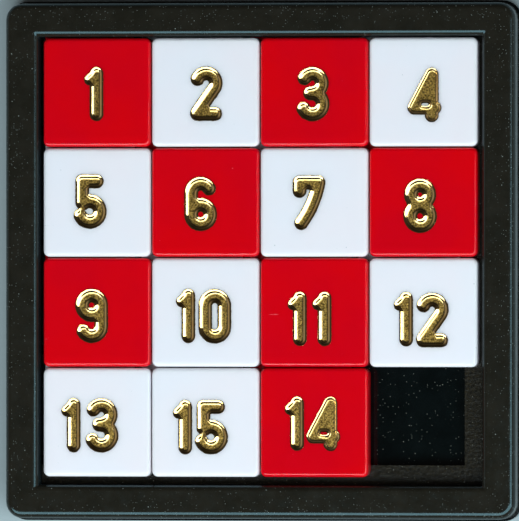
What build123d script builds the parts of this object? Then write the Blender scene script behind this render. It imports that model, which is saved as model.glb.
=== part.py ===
"""Pocket sliding tile puzzle: fifteen interlocking numbered tiles in a shallow square tray.

The tray is two mouldings, a base with a flat floor and a frame glued on top of it.
Each tile is one moulding with a numeral stamped into its face, and each stamped digit
is lined with its own piece of gold foil.

Millimetres. +Z is up out of the tile faces, +X runs along a row of numbers from left
to right and +Y runs from the last row to the first. The origin is at the centre of the
underside of the base.
"""

from build123d import *
import os

os.makedirs("parts", exist_ok=True)

# ---- Driving dimensions ----------------------------------------------------------

# Tray
base_side = 65.6
base_corner = 2.4
base_thickness = 2.0
base_chamfer = 0.3
frame_side = 65.0
frame_corner = 2.1
frame_height = 4.5
frame_round = 0.9
opening_side = 56.6
mouth_chamfer = 0.78

# The frame is located on the base by four pegs, one in each corner
peg_spacing = 62.4
peg_radius = 0.6
peg_height = 1.2
peg_hole_clearance = 0.05
peg_hole_depth = 1.5

# Tiles
tile_side = 13.7
tile_pitch = 13.87
tile_top = 6.2
tile_corner = 0.75
tile_round = 0.45
tiles_left = -27.64
tiles_far = 28.1
rows = [[1, 2, 3, 4], [5, 6, 7, 8], [9, 10, 11, 12], [13, 15, 14]]

# The interlock: each tile's lower half is set over towards -X and +Y, so it stands out
# as a tongue on two sides and leaves a rebate under the face on the other two
tongue = 1.7
rebate = 2.7
floor_clearance = 0.03
lap_height = 1.62
lap_clearance = 0.1
lap_corner = 0.4

# The tray has the same interlock: a lip over the tongues of the first column and row,
# and a step on the floor under the faces of the last column and row
lip_reach = 1.9
step_width = 2.5
step_clearance = 0.05

# Numerals
stroke = 1.7
flag_stroke = 1.4
digit_reach = 2.55
recess_depth = 0.4
foil_thickness = 0.08

# ---- Derived levels --------------------------------------------------------------

tile_bottom = base_thickness + floor_clearance
lap_top = tile_bottom + lap_height
face_bottom = lap_top + lap_clearance
step_top = lap_top
recess_floor = tile_top - recess_depth


# ---- Digits ----------------------------------------------------------------------

def pen(line, ends, width=stroke):
    """Adds a stroke of even width along a line, rounded at the points in ends."""
    trace(line, line_width=width)
    with Locations(*ends):
        Circle(width / 2)


def bar(start, end, width=stroke):
    """A straight stroke."""
    with BuildLine() as path:
        Line(start, end)
    pen(path.line, (start, end), width)


def bow(centre, radius, start, turn):
    """A stroke along part of a circle, from the angle start through turn degrees."""
    with BuildLine() as path:
        arc = CenterArc(centre, radius, start, turn)
    pen(path.line, (arc @ 0, arc @ 1))


def bend(start, middle, end):
    """A stroke along the arc through three points."""
    with BuildLine() as path:
        ThreePointArc(start, middle, end)
    pen(path.line, (start, end))


# A round digit is built on two equal rounds, one above the other
round_radius = 1.22
round_middle = digit_reach - round_radius

with BuildSketch() as zero:
    bar((-round_radius, -round_middle), (-round_radius, round_middle))
    bow((0, round_middle), round_radius, 0, 180)
    bar((round_radius, -round_middle), (round_radius, round_middle))
    bow((0, -round_middle), round_radius, 180, 180)

with BuildSketch() as one:
    bar((0.35, -digit_reach), (0.35, digit_reach))
    bar((0.3, digit_reach), (-0.5, 1.8), flag_stroke)

with BuildSketch() as two:
    bow((0, round_middle), round_radius, 155, -190)
    bar((1.0, 0.63), (-1.15, -2.4))
    bar((-1.15, -digit_reach), (1.15, -digit_reach))

with BuildSketch() as three:
    upper_bowl = 1.2
    lower_bowl = 1.3
    bow((0, digit_reach - upper_bowl), upper_bowl, 148, -228)
    bow((0, lower_bowl - digit_reach), lower_bowl, 80, -232)
    bar((0.2, 0.08), (-0.3, 0.08))

with BuildSketch() as four:
    apex = (0.9, digit_reach)
    heel = (-1.3, -1.6)
    crossing = (0.9, -1.6)
    bar(apex, heel)
    bar(heel, (1.25, -1.6))
    bar(apex, (0.9, -digit_reach))
    with BuildLine():
        Polyline(apex, heel, crossing, close=True)
    make_face()
    with Locations((0.05, -1.2)):
        SlotOverall(0.95, 0.4, mode=Mode.SUBTRACT)

with BuildSketch() as five:
    bar((-1.08, digit_reach), (0.8, digit_reach))
    bar((-1.08, digit_reach), (-1.08, -0.1))
    bow((-0.12, -1.25), 1.3, 130, -285)

with BuildSketch() as six:
    bow((0, -round_middle), round_radius, 0, 180)
    bow((0, -round_middle), round_radius, 180, 180)
    bar((-round_radius, -round_middle), (-round_radius, round_middle))
    bow((0, round_middle), round_radius, 180, -150)

with BuildSketch() as seven:
    bar((-1.22, 1.5), (-1.22, digit_reach))
    bar((-1.22, digit_reach), (1.2, digit_reach))
    bend((1.2, digit_reach), (0.6, 0.4), (-1.0, -digit_reach))

with BuildSketch() as eight:
    upper_ring = 1.15
    lower_ring = 1.25
    rings = [(digit_reach - upper_ring, upper_ring), (lower_ring - digit_reach, lower_ring)]
    for middle, radius in rings:
        bow((0, middle), radius, 0, 180)
        bow((0, middle), radius, 180, 180)

with BuildSketch() as nine:
    bow((0, round_middle), round_radius, 0, 180)
    bow((0, round_middle), round_radius, 180, 180)
    bar((round_radius, -round_middle), (round_radius, round_middle))
    bow((0, -round_middle), round_radius, 0, -150)

digits = {
    "0": zero,
    "1": one,
    "2": two,
    "3": three,
    "4": four,
    "5": five,
    "6": six,
    "7": seven,
    "8": eight,
    "9": nine,
}

# Where the middle of each digit lies from the middle of its tile. The stamping is by
# hand, so no two tiles have their numeral in quite the same place.
stamps = {
    1: [("1", -0.38, -0.18)],
    2: [("2", 0.12, -0.18)],
    3: [("3", -0.2, -0.25)],
    4: [("4", 0.2, -0.4)],
    5: [("5", -0.78, 0.1)],
    6: [("6", -0.58, -0.2)],
    7: [("7", -0.62, -0.08)],
    8: [("8", -0.38, -0.45)],
    9: [("9", -0.65, -0.45)],
    10: [("1", -2.5, -0.45), ("0", 1.22, -0.5)],
    11: [("1", -2.15, -0.8), ("1", 1.0, -0.8)],
    12: [("1", -2.5, -0.85), ("2", 1.15, -0.95)],
    13: [("1", -3.3, -0.38), ("3", 0.6, -0.4)],
    14: [("1", -2.5, -0.12), ("4", 1.2, -0.15)],
    15: [("1", -2.9, -0.62), ("5", 0.85, -0.6)],
}


# ---- Tray ------------------------------------------------------------------------

step_side = opening_side - 2 * step_clearance

with BuildPart() as base_tray:
    with BuildSketch():
        RectangleRounded(base_side, base_side, base_corner)
    extrude(amount=base_thickness)
    chamfer(base_tray.faces().sort_by(Axis.Z)[0].edges(), base_chamfer)
    # The step is an L along the +X and -Y walls
    with BuildSketch(Plane.XY.offset(base_thickness)):
        Rectangle(step_side, step_side)
        with Locations((-step_width, step_width)):
            Rectangle(step_side, step_side, mode=Mode.SUBTRACT)
    extrude(amount=step_top - base_thickness)
    with BuildSketch(Plane.XY.offset(base_thickness)):
        with GridLocations(peg_spacing, peg_spacing, 2, 2):
            Circle(peg_radius)
    extrude(amount=peg_height)
base_tray.part.label = "base_tray"
export_step(base_tray.part, "parts/base_tray.step")

with BuildPart() as frame:
    with BuildSketch(Plane.XY.offset(base_thickness)):
        RectangleRounded(frame_side, frame_side, frame_corner)
        Rectangle(opening_side, opening_side, mode=Mode.SUBTRACT)
    extrude(amount=frame_height)
    fillet(frame.faces().sort_by(Axis.Z)[-1].outer_wire().edges(), frame_round)
    chamfer(frame.faces().sort_by(Axis.Z)[-1].inner_wires()[0].edges(), mouth_chamfer)
    # The -X and +Y bars are undercut, which leaves the lip that holds the tongues down
    with BuildSketch(Plane.XY.offset(base_thickness)):
        with Locations((-lip_reach / 2, lip_reach / 2)):
            Rectangle(opening_side + lip_reach, opening_side + lip_reach)
    extrude(amount=face_bottom - base_thickness, mode=Mode.SUBTRACT)
    with BuildSketch(Plane.XY.offset(base_thickness)):
        with GridLocations(peg_spacing, peg_spacing, 2, 2):
            Circle(peg_radius + peg_hole_clearance)
    extrude(amount=peg_hole_depth, mode=Mode.SUBTRACT)
frame.part.label = "frame"
export_step(frame.part, "parts/frame.step")


# ---- Tiles and foil --------------------------------------------------------------

def tile_centre(row, column):
    """The middle of the face of the tile in this place, counting from 0."""
    x = tiles_left + tile_side / 2 + column * tile_pitch
    y = tiles_far - tile_side / 2 - row * tile_pitch
    return x, y


def make_tile(number, x, y):
    lap_side = tile_side + tongue - rebate
    lap_shift = (tongue + rebate) / 2
    with BuildPart() as tile:
        with BuildSketch(Plane.XY.offset(tile_bottom)):
            with Locations((x - lap_shift, y + lap_shift)):
                RectangleRounded(lap_side, lap_side, lap_corner)
        extrude(amount=lap_height)
        neck_side = tile_side - rebate
        with BuildSketch(Plane.XY.offset(lap_top)):
            with Locations((x - rebate / 2, y + rebate / 2)):
                Rectangle(neck_side - 2 * lap_corner, neck_side - 2 * lap_corner)
        extrude(amount=lap_clearance)
        with BuildSketch(Plane.XY.offset(face_bottom)):
            with Locations((x, y)):
                RectangleRounded(tile_side, tile_side, tile_corner)
        extrude(amount=tile_top - face_bottom)
        fillet(tile.faces().sort_by(Axis.Z)[-1].edges(), tile_round)
        with BuildSketch(Plane.XY.offset(recess_floor)):
            for digit, across, up in stamps[number]:
                with Locations((x + across, y + up)):
                    add(digits[digit].sketch)
        extrude(amount=recess_depth, mode=Mode.SUBTRACT)
    name = f"tile_{number:02d}"
    tile.part.label = name
    export_step(tile.part, f"parts/{name}.step")


def make_foil(name, digit, x, y):
    with BuildPart() as foil:
        with BuildSketch(Plane.XY.offset(recess_floor)):
            with Locations((x, y)):
                add(digits[digit].sketch)
        extrude(amount=foil_thickness)
    foil.part.label = name
    export_step(foil.part, f"parts/{name}.step")


for row, numbers in enumerate(rows):
    for column, number in enumerate(numbers):
        x, y = tile_centre(row, column)
        make_tile(number, x, y)
        places = [""] if number < 10 else ["_tens", "_units"]
        for place, (digit, across, up) in zip(places, stamps[number]):
            make_foil(f"foil_{number:02d}{place}", digit, x + across, y + up)
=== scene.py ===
"""Looks of the pocket sliding tile puzzle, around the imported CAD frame.

The frame moulding, the tiles and their foil linings are built here as finer meshes that stand
for their CAD nodes. The base keeps its CAD shape and gets a better material. Shapes are worked
out in millimetres and turned to metres when a mesh is made.
"""

import math
import bmesh
import bpy
import numpy as np
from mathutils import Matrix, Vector, noise
from mathutils.geometry import delaunay_2d_cdt


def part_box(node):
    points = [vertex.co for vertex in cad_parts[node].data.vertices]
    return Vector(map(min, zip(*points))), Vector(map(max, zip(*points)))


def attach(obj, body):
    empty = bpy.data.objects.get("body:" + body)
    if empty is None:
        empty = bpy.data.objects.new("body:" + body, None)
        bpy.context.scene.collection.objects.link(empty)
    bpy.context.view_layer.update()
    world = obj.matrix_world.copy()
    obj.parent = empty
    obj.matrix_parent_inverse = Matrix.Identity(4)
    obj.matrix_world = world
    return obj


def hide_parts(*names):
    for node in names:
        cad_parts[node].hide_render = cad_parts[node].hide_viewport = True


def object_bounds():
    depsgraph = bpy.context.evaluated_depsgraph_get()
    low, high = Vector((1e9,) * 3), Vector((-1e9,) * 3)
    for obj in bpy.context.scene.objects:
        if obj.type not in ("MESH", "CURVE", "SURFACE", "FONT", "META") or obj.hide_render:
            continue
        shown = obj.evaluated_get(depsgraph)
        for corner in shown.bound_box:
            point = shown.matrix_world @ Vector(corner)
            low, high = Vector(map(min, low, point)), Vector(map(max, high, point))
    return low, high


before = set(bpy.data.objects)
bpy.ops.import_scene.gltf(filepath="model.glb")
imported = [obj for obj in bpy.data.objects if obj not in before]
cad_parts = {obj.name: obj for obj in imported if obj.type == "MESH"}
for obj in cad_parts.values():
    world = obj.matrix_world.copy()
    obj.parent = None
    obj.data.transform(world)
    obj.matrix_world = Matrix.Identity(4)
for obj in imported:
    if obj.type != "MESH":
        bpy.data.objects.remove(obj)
cad_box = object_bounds()

MM = 0.001


def in_mm(node):
    """A CAD node's lowest and highest corners at rest, in millimetres."""
    low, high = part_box(node)
    return np.array(low) / MM, np.array(high) / MM


# ---- Driving dimensions, in millimetres --------------------------------------------

# Tiles
TILE_SIDE = 13.7
TILE_CORNER = 0.75
TILE_ROUND = 0.45
TONGUE = 1.7
REBATE = 2.7
LAP_HEIGHT = 1.62
LAP_CLEARANCE = 0.1
LAP_CORNER = 0.4
SOFT_EDGE = 0.08

# Only tongues lie further from the middle than the faces reach: this far in +Y, and less in
# -X by the second value
FACES_REACH = 28.15
FACES_OFF_CENTRE = 0.45

# Frame
FRAME_CORNER = 2.1
FRAME_ROUND = 0.9
OPENING_SIDE = 56.6
OPENING_CORNER = 0.15
MOUTH_WIDTH = 0.78
MOUTH_ANGLE = 52
MOUTH_TOP_ROUND = 0.8
MOUTH_FOOT_ROUND = 0.15
LIP_REACH = 1.9

# Flat strips beside the frame's rounds, which keep their shading off the wide faces
STRIP = 0.3
FOOT_STRIP = 0.4

# Numerals: the wall of the stamped recess is an S in section, and the foil lines it. The 4's
# island leaves less room for the wall
STROKE = 1.7
FLAG_STROKE = 1.4
DIGIT_REACH = 2.55
WALL_WIDTH = 0.68
NARROW_WALLS = {"4": 0.5}
RECESS_DEPTH = 0.28
FOIL_LIFT = 0.012
FOIL_THICKNESS = 0.02
FOIL_RAGGED = 0.07
FOIL_CURL = 0.05
WALL_STEPS = (0.0, 0.06, 0.14, 0.24, 0.34, 0.43, 0.5, 0.57, 0.66, 0.76, 0.86, 0.94, 1.0)
OUTLINE_STEP = 0.09

# Points closer than this are the same point
SAME_PLACE = 0.0005

# Steps along a quarter round of the frame, over the mouth's top edge, at the mouth's foot, and
# along a quarter round of a tile
FRAME_STEPS = 10
MOUTH_STEPS = 8
FOOT_STEPS = 3
TILE_STEPS = 8

WHITE_TILES = (2, 4, 5, 7, 10, 12, 13, 15)

# The digits on each tile, and where the middle of each lies from the middle of the face
STAMPS = {
    1: [("1", -0.38, -0.18)],
    2: [("2", 0.12, -0.18)],
    3: [("3", -0.2, -0.25)],
    4: [("4", 0.2, -0.4)],
    5: [("5", -0.78, 0.1)],
    6: [("6", -0.58, -0.2)],
    7: [("7", -0.62, -0.08)],
    8: [("8", -0.38, -0.45)],
    9: [("9", -0.65, -0.45)],
    10: [("1", -2.5, -0.45), ("0", 1.22, -0.5)],
    11: [("1", -2.15, -0.8), ("1", 1.0, -0.8)],
    12: [("1", -2.5, -0.85), ("2", 1.15, -0.95)],
    13: [("1", -3.3, -0.38), ("3", 0.6, -0.4)],
    14: [("1", -2.5, -0.12), ("4", 1.2, -0.15)],
    15: [("1", -2.9, -0.62), ("5", 0.85, -0.6)],
}


# ---- Digit shapes --------------------------------------------------------------------
# A stroke is a function that gives the distance of points from its edge, negative inside.

def bar(start, end, width=STROKE):
    """A straight stroke."""
    start, end = np.array(start), np.array(end)
    along = end - start

    def edge(points):
        share = np.clip((points - start) @ along / (along @ along), 0, 1)
        return np.linalg.norm(points - start - share[..., None] * along, axis=-1) - width / 2
    return edge


def bow(centre, radius, start, turn, width=STROKE):
    """A stroke along part of a circle, from the angle start through turn degrees."""
    centre = np.array(centre)
    middle, half = math.radians(start + turn / 2), math.radians(abs(turn) / 2)
    ends = [centre + radius * np.array((math.cos(angle), math.sin(angle)))
            for angle in (middle - half, middle + half)]

    def edge(points):
        away = points - centre
        angle = np.arctan2(away[..., 1], away[..., 0]) - middle
        angle = np.abs((angle + math.pi) % math.tau - math.pi)
        on_arc = np.abs(np.linalg.norm(away, axis=-1) - radius)
        to_ends = np.minimum.reduce([np.linalg.norm(points - end, axis=-1) for end in ends])
        return np.where(angle <= half, on_arc, to_ends) - width / 2
    return edge


def ring(centre, radius):
    """A stroke along a whole circle."""
    return bow(centre, radius, 0, 360)


def bend(start, middle, end):
    """A stroke along the arc through three points."""
    a, b, c = (complex(*p) for p in (start, middle, end))
    w = (c - a) / (b - a)
    centre = (b - a) * (w - abs(w) ** 2) / (2j * w.imag) + a
    first, last = (math.degrees(math.atan2((p - centre).imag, (p - centre).real)) for p in (a, c))
    turn = (last - first + 180) % 360 - 180
    return bow((centre.real, centre.imag), abs(a - centre), first, turn)


def wedge(corners):
    """A filled triangle with a stroke round its edge."""
    sides = [bar(p, q, 0) for p, q in zip(corners, corners[1:] + corners[:1])]

    def edge(points):
        turns = [(q[0] - p[0]) * (points[..., 1] - p[1]) - (q[1] - p[1]) * (points[..., 0] - p[0])
                 for p, q in zip(corners, corners[1:] + corners[:1])]
        inside = np.logical_or(np.minimum.reduce(turns) > 0, np.maximum.reduce(turns) < 0)
        nearest = np.minimum.reduce([side(points) for side in sides])
        return np.where(inside, -nearest, nearest) - STROKE / 2
    return edge


ROUND_RADIUS = 1.22
ROUND_MIDDLE = DIGIT_REACH - ROUND_RADIUS
UPPER_BOWL, LOWER_BOWL = 1.2, 1.3
UPPER_RING, LOWER_RING = 1.15, 1.25
APEX, HEEL, CROSSING = (0.9, DIGIT_REACH), (-1.3, -1.6), (0.9, -1.6)

STROKES = {
    "0": [
        bar((-ROUND_RADIUS, -ROUND_MIDDLE), (-ROUND_RADIUS, ROUND_MIDDLE)),
        bar((ROUND_RADIUS, -ROUND_MIDDLE), (ROUND_RADIUS, ROUND_MIDDLE)),
        bow((0, ROUND_MIDDLE), ROUND_RADIUS, 0, 180),
        bow((0, -ROUND_MIDDLE), ROUND_RADIUS, 180, 180),
    ],
    "1": [
        bar((0.35, -DIGIT_REACH), (0.35, DIGIT_REACH)),
        bar((0.3, DIGIT_REACH), (-0.5, 1.8), FLAG_STROKE),
    ],
    "2": [
        bow((0, ROUND_MIDDLE), ROUND_RADIUS, 155, -190),
        bar((1.0, 0.63), (-1.15, -2.4)),
        bar((-1.15, -DIGIT_REACH), (1.15, -DIGIT_REACH)),
    ],
    "3": [
        bow((0, DIGIT_REACH - UPPER_BOWL), UPPER_BOWL, 148, -228),
        bow((0, LOWER_BOWL - DIGIT_REACH), LOWER_BOWL, 80, -232),
        bar((0.2, 0.08), (-0.3, 0.08)),
    ],
    "4": [
        wedge([APEX, HEEL, CROSSING]),
        bar(HEEL, (1.25, -1.6)),
        bar(APEX, (0.9, -DIGIT_REACH)),
    ],
    "5": [
        bar((-1.08, DIGIT_REACH), (0.8, DIGIT_REACH)),
        bar((-1.08, DIGIT_REACH), (-1.08, -0.1)),
        bow((-0.12, -1.25), 1.3, 130, -285),
    ],
    "6": [
        ring((0, -ROUND_MIDDLE), ROUND_RADIUS),
        bar((-ROUND_RADIUS, -ROUND_MIDDLE), (-ROUND_RADIUS, ROUND_MIDDLE)),
        bow((0, ROUND_MIDDLE), ROUND_RADIUS, 180, -150),
    ],
    "7": [
        bar((-1.22, 1.5), (-1.22, DIGIT_REACH)),
        bar((-1.22, DIGIT_REACH), (1.2, DIGIT_REACH)),
        bend((1.2, DIGIT_REACH), (0.6, 0.4), (-1.0, -DIGIT_REACH)),
    ],
    "8": [
        ring((0, DIGIT_REACH - UPPER_RING), UPPER_RING),
        ring((0, LOWER_RING - DIGIT_REACH), LOWER_RING),
    ],
    "9": [
        ring((0, ROUND_MIDDLE), ROUND_RADIUS),
        bar((ROUND_RADIUS, ROUND_MIDDLE), (ROUND_RADIUS, -ROUND_MIDDLE)),
        bow((0, -ROUND_MIDDLE), ROUND_RADIUS, 0, -150),
    ],
}
ISLANDS = {"4": bar((-0.225, -1.2), (0.325, -1.2), 0.4)}


def digit_edge(digit):
    """The distance of points from a digit's outline, negative inside it."""
    def edge(points):
        nearest = np.minimum.reduce([stroke(points) for stroke in STROKES[digit]])
        if digit in ISLANDS:
            nearest = np.maximum(nearest, -ISLANDS[digit](points))
        return nearest
    return edge


def slope(edge, points, reach=0.01):
    """The direction in which the distance from the outline grows fastest, one unit long."""
    across = edge(points + (reach, 0)) - edge(points - (reach, 0))
    up = edge(points + (0, reach)) - edge(points - (0, reach))
    way = np.stack((across, up), -1)
    return way / np.maximum(np.linalg.norm(way, axis=-1, keepdims=True), 1e-9)


def settle(edge, points, level):
    """Moves points to where the distance from the outline is level."""
    for _ in range(4):
        points = points - (edge(points) - level)[..., None] * slope(edge, points)
    return points


def outline_loops(edge, step=0.06, width=3.2, height=4.0):
    """The closed loops of a digit's outline, found by marching squares and evened out."""
    x = np.arange(-width, width + step, step)
    y = np.arange(-height, height + step, step)
    grid = np.stack(np.meshgrid(x, y, indexing="ij"), -1)
    value = edge(grid)
    inside = value < 0
    corners = np.stack((inside[:-1, :-1], inside[1:, :-1], inside[1:, 1:], inside[:-1, 1:]))
    mixed = corners.any(0) & ~corners.all(0)
    joined = {}
    for i, j in np.argwhere(mixed):
        cell = [(i, j), (i + 1, j), (i + 1, j + 1), (i, j + 1)]
        crossed = [frozenset((p, q)) for p, q in zip(cell, cell[1:] + cell[:1])
                   if inside[p] != inside[q]]
        for first, second in zip(crossed[::2], crossed[1::2]):
            joined.setdefault(first, []).append(second)
            joined.setdefault(second, []).append(first)
    loops, seen = [], set()
    for start in joined:
        if start in seen:
            continue
        chain = [start]
        seen.add(start)
        while True:
            onward = [k for k in joined[chain[-1]] if k not in seen]
            if not onward:
                break
            chain.append(onward[0])
            seen.add(onward[0])
        points = []
        for key in chain:
            p, q = sorted(key)
            share = value[p] / (value[p] - value[q])
            points.append(grid[p] * (1 - share) + grid[q] * share)
        loops.append(settle(edge, evened(np.array(points)), 0.0))
    return loops


def evened(points):
    """The same closed loop with points at even distances."""
    closed = np.vstack((points, points[:1]))
    lengths = np.linalg.norm(np.diff(closed, axis=0), axis=1)
    travelled = np.concatenate(([0], np.cumsum(lengths)))
    count = max(12, round(travelled[-1] / OUTLINE_STEP))
    places = np.linspace(0, travelled[-1], count, endpoint=False)
    return np.stack([np.interp(places, travelled, closed[:, k]) for k in (0, 1)], -1)


def wall_height(share):
    """Height of the recess's wall below the face, from 0 at its lip to the depth at its foot."""
    return -RECESS_DEPTH * share * share * (3 - 2 * share)


def digit_rings(digit):
    """For each loop of a digit's outline, its points at each step down the wall."""
    edge = digit_edge(digit)
    width = NARROW_WALLS.get(digit, WALL_WIDTH)
    found = []
    for loop in outline_loops(edge):
        rings, points = [loop], loop
        for before, after in zip(WALL_STEPS, WALL_STEPS[1:]):
            points = points - (after - before) * width * slope(edge, points)
            points = settle(edge, points, -after * width)
            rings.append(points)
        found.append((rings, slope(edge, loop)))
    return found


RINGS = {digit: digit_rings(digit) for digit in STROKES}


# ---- Mesh helpers ----------------------------------------------------------------------

def within(point, loops):
    """True if a point is inside an odd number of loops."""
    count = 0
    for loop in loops:
        a, b = loop, np.roll(loop, -1, axis=0)
        spans = (a[:, 1] > point[1]) != (b[:, 1] > point[1])
        with np.errstate(divide="ignore", invalid="ignore"):
            crossing = (b[:, 0] - a[:, 0]) * (point[1] - a[:, 1]) / (b[:, 1] - a[:, 1]) + a[:, 0]
        count += int(np.sum(spans & (point[0] < crossing)))
    return count % 2 == 1


def filled(loops):
    """Triangles between loops of points, as indices into the loops' points in order."""
    points, edges = [], []
    for loop in loops:
        first = len(points)
        points += [Vector(p) for p in loop]
        edges += [(first + k, first + (k + 1) % len(loop)) for k in range(len(loop))]
    only_inside = 1
    made = delaunay_2d_cdt(points, edges, [], only_inside, 1e-7)
    corners, faces, origins = made[0], made[2], made[3]
    origin = [from_points[0] if from_points else None for from_points in origins]
    triangles = []
    for face in faces:
        middle = sum((corners[k] for k in face), Vector((0, 0))) / 3
        if None not in [origin[k] for k in face] and within(middle, loops):
            triangles.append([origin[k] for k in face])
    return triangles


def rounded_square(low, high, corner, steps=6):
    """The outline of a rounded rectangle, always with the same number of points."""
    centres = [(high[0] - corner, high[1] - corner), (low[0] + corner, high[1] - corner),
               (low[0] + corner, low[1] + corner), (high[0] - corner, low[1] + corner)]
    points = []
    for quarter, (x, y) in enumerate(centres):
        for k in range(steps + 1):
            angle = math.pi / 2 * (quarter + k / steps)
            points.append((x + corner * math.cos(angle), y + corner * math.sin(angle)))
    return np.array(points)


class Shape:
    """A mesh under construction, in millimetres."""

    def __init__(self):
        self.mesh = bmesh.new()

    def loop(self, points, height):
        heights = np.broadcast_to(height, len(points))
        return [self.mesh.verts.new((p[0] * MM, p[1] * MM, z * MM)) for p, z in zip(points, heights)]

    def bridge(self, lower, upper):
        for k in range(len(lower)):
            after = (k + 1) % len(lower)
            self.mesh.faces.new((lower[k], lower[after], upper[after], upper[k]))

    def stack(self, loops):
        for lower, upper in zip(loops, loops[1:]):
            self.bridge(lower, upper)

    def cap(self, loops, outlines):
        verts = [v for loop in loops for v in loop]
        for triangle in filled(outlines):
            self.mesh.faces.new([verts[k] for k in triangle])

    def piece(self, name, body, material, replaced, flats):
        """Makes the object. Flats are the heights at which its surface is level."""
        bmesh.ops.remove_doubles(self.mesh, verts=self.mesh.verts, dist=SAME_PLACE * MM)
        bmesh.ops.recalc_face_normals(self.mesh, faces=self.mesh.faces)
        data = bpy.data.meshes.new(name)
        self.mesh.to_mesh(data)
        self.mesh.free()
        data.shade_smooth()
        data.set_sharp_from_angle(angle=math.radians(50))
        data.materials.append(material)
        made = bpy.data.objects.new(name, data)
        bpy.context.scene.collection.objects.link(made)
        even_shading(made, flats)
        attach(made, body)
        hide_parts(replaced)
        return made


def even_shading(made, flats):
    """Lets large faces keep their own direction, so that only the small ones between them look
    round, and turns the normals at the flats' heights straight up."""
    made.modifiers.new("even_shading", "WEIGHTED_NORMAL").keep_sharp = True
    shaded = made.evaluated_get(bpy.context.evaluated_depsgraph_get()).to_mesh()
    ways = [corner.vector.copy() for corner in shaded.corner_normals]
    made.modifiers.clear()
    heights = [v.co.z / MM for v in made.data.vertices]
    for corner, loop in enumerate(made.data.loops):
        if any(abs(heights[loop.vertex_index] - flat) < SAME_PLACE for flat in flats):
            ways[corner] = Vector((0, 0, 1))
    made.data.normals_split_custom_set(ways)


# ---- Materials -------------------------------------------------------------------------

def set_range(node, low, high, at_low, at_high):
    """Makes a Map Range node turn low to high into at_low to at_high."""
    values = (low, high, at_low, at_high)
    for key, value in zip(("From Min", "From Max", "To Min", "To Max"), values):
        node.inputs[key].default_value = value


class Nodes:
    """A material's node tree, with short ways to add what these materials share."""

    def __init__(self, name):
        self.material = bpy.data.materials.new(name)
        self.material.use_nodes = True
        self.tree = self.material.node_tree
        self.shader = self.tree.nodes["Principled BSDF"]
        self.place = self.add("ShaderNodeTexCoord").outputs["Object"]

    def axes(self):
        """X, Y and Z of each point, in metres."""
        split = self.add("ShaderNodeSeparateXYZ")
        self.link(self.place, split.inputs[0])
        return split.outputs

    def add(self, kind, **values):
        node = self.tree.nodes.new(kind)
        for key, value in values.items():
            setattr(node, key, value)
        return node

    def link(self, source, target):
        self.tree.links.new(source, target)

    def noise(self, per_mm, detail=2.0, roughness=0.5, stretch=(1, 1, 1)):
        """Noise whose grain is about 1/per_mm millimetres across, from 0 to 1."""
        mapping = self.add("ShaderNodeMapping")
        mapping.inputs["Scale"].default_value = [s / MM for s in stretch]
        self.link(self.place, mapping.inputs["Vector"])
        node = self.add("ShaderNodeTexNoise")
        node.inputs["Scale"].default_value = per_mm
        node.inputs["Detail"].default_value = detail
        node.inputs["Roughness"].default_value = roughness
        self.link(mapping.outputs[0], node.inputs["Vector"])
        return node.outputs["Fac"]

    def specks(self, per_mm, size, share, stretch=(1, 1, 1), seed=0.0):
        """1 on scattered small specks and 0 elsewhere: size is a speck's radius in cells, and
        share is how many of the cells have one."""
        mapping = self.add("ShaderNodeMapping")
        mapping.inputs["Scale"].default_value = [s / MM for s in stretch]
        mapping.inputs["Location"].default_value = (seed, seed, seed)
        self.link(self.place, mapping.inputs["Vector"])
        cells = self.add("ShaderNodeTexVoronoi")
        cells.inputs["Scale"].default_value = per_mm
        self.link(mapping.outputs[0], cells.inputs["Vector"])
        near = self.ramp(cells.outputs["Distance"], size * 0.5, size, 1.0, 0.0)
        split = self.add("ShaderNodeSeparateColor")
        self.link(cells.outputs["Color"], split.inputs[0])
        chosen = self.ramp(split.outputs[0], share, share + 0.01, 1.0, 0.0)
        return self.maths("MULTIPLY", near, chosen)

    def ramp(self, source, low, high, at_low, at_high):
        node = self.add("ShaderNodeMapRange")
        set_range(node, low, high, at_low, at_high)
        self.link(source, node.inputs["Value"])
        return node.outputs["Result"]

    def maths(self, operation, *values):
        node = self.add("ShaderNodeMath", operation=operation)
        for socket, value in zip(node.inputs, values):
            if isinstance(value, (int, float)):
                socket.default_value = value
            else:
                self.link(value, socket)
        return node.outputs[0]

    def mix(self, share, first, second):
        """A colour between two others. Each is a colour or an output."""
        node = self.add("ShaderNodeMix", data_type="RGBA")
        self.link(share, node.inputs["Factor"])
        for socket, value in zip((node.inputs[6], node.inputs[7]), (first, second)):
            if isinstance(value, tuple):
                socket.default_value = (*value, 1)
            else:
                self.link(value, socket)
        return node.outputs[2]

    def bump(self, height, depth_mm):
        node = self.add("ShaderNodeBump")
        node.inputs["Distance"].default_value = depth_mm * MM
        self.link(height, node.inputs["Height"])
        self.link(node.outputs[0], self.shader.inputs["Normal"])

    def set(self, socket, value):
        if isinstance(value, (int, float)):
            self.shader.inputs[socket].default_value = value
        elif isinstance(value, tuple):
            self.shader.inputs[socket].default_value = (*value, 1)
        else:
            self.link(value, self.shader.inputs[socket])


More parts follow.
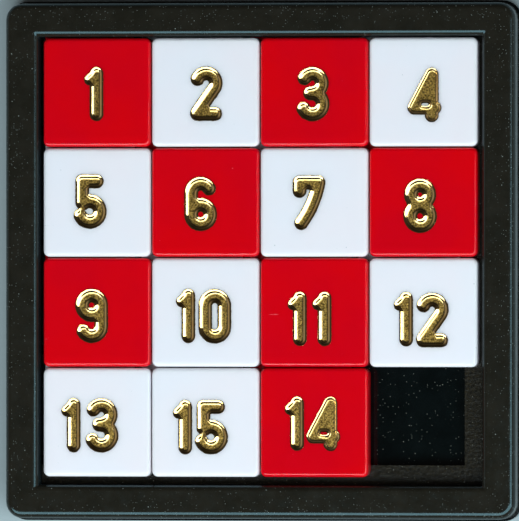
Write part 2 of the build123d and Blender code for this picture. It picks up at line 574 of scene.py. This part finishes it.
def tile_plastic(name, colour, deeper, speck_colour):
    """Glossy moulded plastic: slow drifts of colour, fine dust, small scratches and a skin
    that isn't quite flat. The tongues under the frame's lip are painted near black: painted shade."""
    n = Nodes(name)
    x, y, _ = n.axes()
    # Painted shade: the tongues beyond the faces, under the frame's lip, are mixed towards near black
    past_faces = n.maths("MAXIMUM", n.maths("SUBTRACT", FACES_OFF_CENTRE * MM, x), y)
    darker_share = n.ramp(past_faces, FACES_REACH * MM, (FACES_REACH + 0.15) * MM, 0, 1)
    drift = n.ramp(n.noise(0.11, 3), 0.35, 0.65, 0, 1)
    base = n.mix(drift, colour, deeper)
    dust = n.maths("MAXIMUM", n.specks(0.55, 0.055, 0.14), n.specks(1.6, 0.07, 0.05, seed=7.0))
    scratches = n.specks(0.3, 0.05, 0.12, stretch=(0.22, 2.2, 1), seed=3.0)
    marks = n.maths("MAXIMUM", dust, n.maths("MULTIPLY", scratches, 0.6))
    n.set("Base Color", n.mix(darker_share, n.mix(marks, base, speck_colour), (0.004, 0.003, 0.002)))
    n.set("Roughness", n.ramp(n.noise(0.5, 4), 0.3, 0.7, 0.07, 0.13))
    n.set("IOR", 1.49)
    n.set("Specular IOR Level", 0.36)
    n.set("Subsurface Weight", 1.0)
    n.set("Subsurface Scale", 1.2 * MM)
    n.shader.inputs["Subsurface Radius"].default_value = (1, 1, 1)
    n.bump(n.noise(0.35, 2), 0.02)
    return n.material


def black_plastic(name, colour, haze, roughness, dust_share):
    """Glossy black plastic with a haze of wear, dust and hairline scratches. The walls of the
    opening are painted deeper black, as painted shade, and are matt; there is more dust near the rim."""
    n = Nodes(name)
    cloud = n.ramp(n.noise(0.4, 5, 0.6), 0.35, 0.7, 0, 1)
    x, y, _ = n.axes()
    from_middle = n.maths("MAXIMUM", n.maths("ABSOLUTE", x), n.maths("ABSOLUTE", y))
    half = OPENING_SIDE / 2
    # Painted shade: the walls of the opening are painted deeper black than the top
    on_walls = n.ramp(from_middle, (half + 0.01) * MM, (half + 0.05) * MM, 1.0, 0.0)
    base = n.mix(on_walls, n.mix(cloud, colour, haze), (0.003, 0.003, 0.003))
    at_rim = n.ramp(from_middle, (half + 1.2) * MM, (half + 3.5) * MM, 0.15, 1.0)
    rim_dust = n.maths("MULTIPLY", n.specks(3.6, 0.17, 0.45, seed=2.0), at_rim)
    coarse, fine = n.specks(1.2, 0.09, dust_share), n.specks(3.0, 0.14, dust_share, seed=5.0)
    dust = n.maths("MAXIMUM", coarse, fine)
    hair = n.specks(0.35, 0.06, 0.2, stretch=(0.12, 2.4, 1), seed=9.0)
    marks = n.maths("MAXIMUM", n.maths("MAXIMUM", dust, rim_dust), n.maths("MULTIPLY", hair, 0.07))
    n.set("Base Color", n.mix(marks, base, (0.26, 0.28, 0.26)))
    gloss = n.ramp(n.noise(0.9, 5, 0.6), 0.3, 0.7, roughness - 0.04, roughness + 0.06)
    n.set("Roughness", n.maths("MAXIMUM", gloss, n.maths("MULTIPLY", on_walls, 0.7)))
    n.set("IOR", 1.49)
    n.set("Specular Tint", (0.52, 0.88, 1.0))
    n.bump(n.noise(0.6, 4), 0.015)
    return n.material


def floor_black():
    """The base: glossy black, painted darker than the frame as painted shade down in the tray,
    with dust and scratches, and a step rubbed grey-brown and duller by the tiles."""
    n = Nodes("base_black")
    step = in_mm("base_tray")[1][2] * MM
    on_step = n.ramp(n.axes()["Z"], step - 0.3 * MM, step - 0.1 * MM, 0, 1)
    cloud = n.ramp(n.noise(0.4, 5, 0.6), 0.35, 0.7, 0, 1)
    # Painted shade: off the step the base is painted darker than the frame's black
    deep = n.mix(cloud, (0.0008, 0.0020, 0.0022), (0.0022, 0.0042, 0.0045))
    grain = n.ramp(n.noise(3.0, 4, 0.7), 0.35, 0.65, 0, 1)
    rubbed = n.mix(grain, (0.0012, 0.0010, 0.0006), (0.0200, 0.0145, 0.0070))
    base = n.mix(on_step, deep, rubbed)
    dust = n.maths("MAXIMUM", n.specks(1.2, 0.08, 0.3), n.specks(3.0, 0.14, 0.35, seed=5.0))
    hair = n.specks(0.5, 0.045, 0.25, stretch=(0.09, 2.4, 1), seed=9.0)
    marks = n.maths("MAXIMUM", dust, n.maths("MULTIPLY", hair, 0.3))
    n.set("Base Color", n.mix(marks, base, (0.26, 0.26, 0.22)))
    n.set("Roughness", n.ramp(on_step, 0, 1, 0.10, 0.22))
    n.set("IOR", 1.49)
    uneven = n.maths("MULTIPLY", n.noise(2.4, 4, 0.6), n.ramp(on_step, 0, 1, 0.1, 1.0))
    n.bump(uneven, 0.035)
    return n.material


def gold_foil():
    """Stamped foil: bright and smooth on the walls, grainy and duller on the floor. The floor's
    darker gold is partly painted shade, and its bright specks are painted glints.
    """
    n = Nodes("gold_foil")
    wall = n.add("ShaderNodeAttribute", attribute_name="wall").outputs["Fac"]
    grain = n.noise(4.5, 4, 0.7)
    darker_share = n.ramp(n.noise(1.3, 3), 0.35, 0.7, 0, 1)
    gold = n.mix(darker_share, (0.97, 0.70, 0.33), (0.92, 0.58, 0.20))
    # Painted glints: bright specks in the floor's grain
    glint_specks = n.specks(5.0, 0.16, 0.12)
    # The floor's gold is darker than the walls': grain, and partly painted shade
    floor = n.mix(n.ramp(grain, 0.40, 0.64, 0, 1), (0.075, 0.042, 0.010), (0.66, 0.39, 0.095))
    floor = n.mix(glint_specks, floor, (1.0, 0.85, 0.6))
    n.set("Base Color", n.mix(wall, floor, gold))
    n.set("Metallic", 1.0)
    n.set("Roughness", n.ramp(wall, 0, 1, 0.38, 0.06))
    n.bump(n.maths("MULTIPLY", grain, n.ramp(wall, 0, 1, 1.0, 0.12)), 0.035)
    return n.material


RED = tile_plastic("red_plastic",
                   (0.72, 0.0004, 0.005), (0.67, 0.0003, 0.008), (0.8, 0.12, 0.16))
WHITE = tile_plastic("white_plastic",
                     (0.86, 0.79, 0.83), (0.84, 0.80, 0.85), (0.55, 0.55, 0.58))
FRAME_BLACK = black_plastic("frame_black",
                            (0.0118, 0.0096, 0.0064), (0.0172, 0.0140, 0.0098), 0.15, 0.17)
BASE_BLACK = floor_black()
GOLD = gold_foil()


# ---- Pieces ----------------------------------------------------------------------------

def make_frame():
    """The frame moulding: rounded outside, a bevelled mouth, and an undercut lip on two sides."""
    low, high = in_mm("frame")
    outside = (low[:2], high[:2])
    half = OPENING_SIDE / 2
    lip_bottom = in_mm("tile_01")[0][2] + LAP_HEIGHT + LAP_CLEARANCE
    shape = Shape()

    def outer(inset, height):
        corner = FRAME_CORNER - inset
        return shape.loop(rounded_square(outside[0] + inset, outside[1] - inset, corner), height)

    def inner(grow, height, reach=0.0):
        near = (-half - grow - reach, -half - grow)
        far = (half + grow, half + grow + reach)
        return shape.loop(rounded_square(near, far, OPENING_CORNER * (1 + grow)), height)

    loops = [outer(0, low[2]), outer(0, low[2] + FOOT_STRIP), outer(0, high[2] - FRAME_ROUND)]
    for k in range(1, FRAME_STEPS + 1):
        angle = math.pi / 2 * k / FRAME_STEPS
        inset = FRAME_ROUND * (1 - math.cos(angle))
        loops.append(outer(inset, high[2] - FRAME_ROUND * (1 - math.sin(angle))))
    loops.append(outer(FRAME_ROUND + STRIP, high[2]))
    # the mouth: a bevel with a wide round over its top edge and a small one at its foot
    steepest = math.radians(MOUTH_ANGLE)
    loops.append(inner(MOUTH_WIDTH + STRIP, high[2]))
    for k in range(MOUTH_STEPS + 1):
        angle = steepest * k / MOUTH_STEPS
        drop = MOUTH_TOP_ROUND * (1 - math.cos(angle))
        loops.append(inner(MOUTH_WIDTH - MOUTH_TOP_ROUND * math.sin(angle), high[2] - drop))
    foot_start = MOUTH_FOOT_ROUND * (1 - math.sin(steepest))
    drop += (MOUTH_WIDTH - MOUTH_TOP_ROUND * math.sin(steepest) - foot_start) * math.tan(steepest)
    foot = high[2] - drop - MOUTH_FOOT_ROUND * math.cos(steepest)
    for k in range(FOOT_STEPS + 1):
        angle = steepest + (math.pi / 2 - steepest) * k / FOOT_STEPS
        grow = MOUTH_FOOT_ROUND * (1 - math.sin(angle))
        loops.append(inner(grow, foot + MOUTH_FOOT_ROUND * math.cos(angle)))
    loops.append(inner(0, foot - STRIP))
    loops.append(inner(0, lip_bottom))
    loops.append(inner(0, lip_bottom, LIP_REACH))
    loops.append(inner(0, low[2], LIP_REACH))
    shape.stack(loops + loops[:1])
    shape.piece("frame_moulding", "tray", FRAME_BLACK, "frame", [high[2]])


def make_tile(number):
    """A tile: lap block, neck and face plate, with the stamped numeral sunk into its face."""
    name = f"tile_{number:02d}"
    low, high = in_mm(name)
    face_low = np.array((high[0] - TILE_SIDE, low[1]))
    face_high = np.array((high[0], low[1] + TILE_SIDE))
    lap_low = face_low + (-TONGUE, REBATE)
    lap_high = face_high + (-REBATE, TONGUE)
    neck_low = face_low + (LAP_CORNER, REBATE + LAP_CORNER)
    neck_high = face_high + (-REBATE - LAP_CORNER, -LAP_CORNER)
    lap_top = low[2] + LAP_HEIGHT
    face_bottom = lap_top + LAP_CLEARANCE
    shape = Shape()

    def square(bounds, inset, corner, height):
        return shape.loop(rounded_square(bounds[0] + inset, bounds[1] - inset, corner - inset), height)

    lap, neck, face = (lap_low, lap_high), (neck_low, neck_high), (face_low, face_high)
    loops = [
        square(lap, SOFT_EDGE, LAP_CORNER, low[2]),
        square(lap, 0, LAP_CORNER, low[2] + SOFT_EDGE),
        square(lap, 0, LAP_CORNER, lap_top - SOFT_EDGE),
        square(lap, SOFT_EDGE * 0.3, LAP_CORNER, lap_top - SOFT_EDGE * 0.3),
        square(lap, SOFT_EDGE, LAP_CORNER, lap_top),
        square(neck, 0, LAP_CORNER / 2, lap_top),
        square(neck, 0, LAP_CORNER / 2, face_bottom),
        square(face, SOFT_EDGE, TILE_CORNER, face_bottom),
        square(face, 0, TILE_CORNER, face_bottom + SOFT_EDGE),
    ]
    for k in range(TILE_STEPS + 1):
        angle = math.pi / 2 * k / TILE_STEPS
        inset = TILE_ROUND * (1 - math.cos(angle))
        loops.append(square(face, inset, TILE_CORNER, high[2] - TILE_ROUND * (1 - math.sin(angle))))
    flat = TILE_ROUND + 0.15
    flat_outline = rounded_square(face_low + flat, face_high - flat, TILE_CORNER - flat)
    loops.append(shape.loop(flat_outline, high[2]))
    shape.stack(loops)
    shape.mesh.faces.new(loops[0])

    centre = (face_low + face_high) / 2
    lips, outlines = [loops[-1]], [flat_outline]
    for digit, across, up in STAMPS[number]:
        shift = centre + (across, up)
        feet, foot_outlines = [], []
        for rings, _ in RINGS[digit]:
            walls = [shape.loop(points + shift, high[2] + wall_height(share))
                     for points, share in zip(rings, WALL_STEPS)]
            shape.stack(walls)
            lips.append(walls[0])
            outlines.append(rings[0] + shift)
            feet.append(walls[-1])
            foot_outlines.append(rings[-1] + shift)
        shape.cap(feet, foot_outlines)
    shape.cap(lips, outlines)
    material = WHITE if number in WHITE_TILES else RED
    flats = [high[2], high[2] - RECESS_DEPTH]
    shape.piece(f"{name}_moulding", name, material, name, flats)
    return centre, high[2]


def make_foil(node, body, digit, shift, top):
    """The foil lining of one stamped digit: a thin skin on the recess's floor and walls, with
    a slightly ragged edge on the face. The attribute wall is 1 on the walls and 0 on the floor."""
    shape = Shape()
    skins = []
    for lift in (FOIL_LIFT, FOIL_LIFT + FOIL_THICKNESS):
        feet, outlines, edges = [], [], []
        for rings, way in RINGS[digit]:
            lip = rings[0]
            ragged = [noise.noise(Vector((*(p + shift) * 2.3, 0))) for p in lip]
            curled = [noise.noise(Vector((*(p + shift) * 4.1, 5))) for p in lip]
            brim = lip + way * (0.02 + FOIL_RAGGED * np.clip(ragged, 0, 1))[:, None]
            loops = [shape.loop(brim + shift, top + lift + FOIL_CURL * np.clip(curled, 0, 1))]
            loops += [shape.loop(points + shift, top + lift + wall_height(share))
                      for points, share in zip(rings, WALL_STEPS)]
            shape.stack(loops)
            feet.append(loops[-1])
            edges.append(loops[0])
            outlines.append(rings[-1])
        shape.cap(feet, outlines)
        skins.append(edges)
    for lower, upper in zip(*skins):
        shape.bridge(lower, upper)
    skin = top + FOIL_LIFT + FOIL_THICKNESS
    flats = [skin, skin - RECESS_DEPTH]
    made = shape.piece(f"{node}_lining", body, GOLD, node, flats)
    wall = made.data.attributes.new("wall", "FLOAT", "POINT")
    heights = np.array([v.co.z for v in made.data.vertices]) / MM - top - FOIL_LIFT
    on_wall = np.clip((heights + RECESS_DEPTH - 0.03) / 0.06, 0, 1)
    wall.data.foreach_set("value", on_wall.astype(np.float32))


def make_tiles():
    for number, stamps in STAMPS.items():
        centre, top = make_tile(number)
        places = [""] if len(stamps) == 1 else ["_tens", "_units"]
        for place, (digit, across, up) in zip(places, stamps):
            node = f"foil_{number:02d}{place}"
            make_foil(node, f"tile_{number:02d}", digit, centre + (across, up), top)


def finish_base():
    """The base keeps its CAD shape."""
    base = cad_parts["base_tray"]
    base.data.materials.clear()
    base.data.materials.append(BASE_BLACK)


# ---- Stage, light and camera -----------------------------------------------------------

def make_floor():
    n = Nodes("pale_floor")
    n.set("Base Color", n.mix(n.noise(0.05, 3), (0.33, 0.38, 0.40), (0.36, 0.41, 0.43)))
    n.set("Roughness", 0.6)
    n.bump(n.noise(1.5, 3), 0.02)
    data = bpy.data.meshes.new("floor")
    reach = 1.5
    corners = [(-reach, -reach, 0), (reach, -reach, 0), (reach, reach, 0), (-reach, reach, 0)]
    data.from_pydata(corners, [], [(0, 1, 2, 3)])
    data.materials.append(n.material)
    floor = bpy.data.objects.new("floor", data)
    bpy.context.scene.collection.objects.link(floor)


def make_world():
    """A plain studio: dim overhead, and lighter at the horizon on the -X and +X sides."""
    horizon, overhead = 0.55, 0.035
    sides, front_and_back = 1.0, 0.2
    world = bpy.data.worlds.new("studio")
    bpy.context.scene.world = world
    world.use_nodes = True
    nodes, links = world.node_tree.nodes, world.node_tree.links
    place = nodes.new("ShaderNodeTexCoord")
    split = nodes.new("ShaderNodeSeparateXYZ")
    level = nodes.new("ShaderNodeMapRange")
    set_range(level, 0.0, 0.6, horizon, overhead)
    ahead = nodes.new("ShaderNodeMath")
    ahead.operation = "ABSOLUTE"
    side = nodes.new("ShaderNodeMapRange")
    set_range(side, 0.3, 0.75, sides, front_and_back)
    strength = nodes.new("ShaderNodeMath")
    strength.operation = "MULTIPLY"
    background = nodes["Background"]
    background.inputs["Color"].default_value = (1.0, 0.97, 0.92, 1)
    links.new(place.outputs["Generated"], split.inputs[0])
    links.new(split.outputs["Z"], level.inputs["Value"])
    links.new(split.outputs["Y"], ahead.inputs[0])
    links.new(ahead.outputs[0], side.inputs["Value"])
    links.new(level.outputs["Result"], strength.inputs[0])
    links.new(side.outputs["Result"], strength.inputs[1])
    links.new(strength.outputs[0], background.inputs["Strength"])


def aim(obj, place, target):
    """Puts an object somewhere and turns its -Z towards a target."""
    obj.location = place
    obj.rotation_euler = (Vector(target) - Vector(place)).to_track_quat("-Z", "Y").to_euler()


def make_light():
    """One long soft light above the -Y side, high enough not to show in the tiles' faces."""
    place = (0.08, -0.273, 0.454)
    length, width = 1.35, 0.344
    data = bpy.data.lights.new("soft_light", "AREA")
    data.shape = "RECTANGLE"
    data.size = length
    data.size_y = width
    data.energy = 7.2
    data.color = (0.80, 0.96, 1.0)
    light = bpy.data.objects.new("soft_light", data)
    bpy.context.scene.collection.objects.link(light)
    aim(light, place, (0, 0, 0))


def make_camera():
    """Seen from above and slightly from the right, so far away that parallel edges look
    parallel."""
    tilt = math.radians(9)
    distance = 1.6
    view_width = 0.0656
    off_centre = 0.05 * MM
    target = Vector((off_centre, off_centre, cad_box[1].z))
    data = bpy.data.cameras.new("camera")
    data.sensor_width = 36
    data.lens = data.sensor_width * distance / view_width
    data.clip_start, data.clip_end = 0.1, 10
    camera = bpy.data.objects.new("camera", data)
    bpy.context.scene.collection.objects.link(camera)
    camera.location = target + distance * Vector((math.sin(tilt), 0, math.cos(tilt)))
    camera.rotation_euler = (0, tilt, 0)
    bpy.context.scene.camera = camera


make_frame()
make_tiles()
finish_base()
make_floor()
make_world()
make_light()
make_camera()
bpy.context.scene.view_settings.view_transform = "Standard"
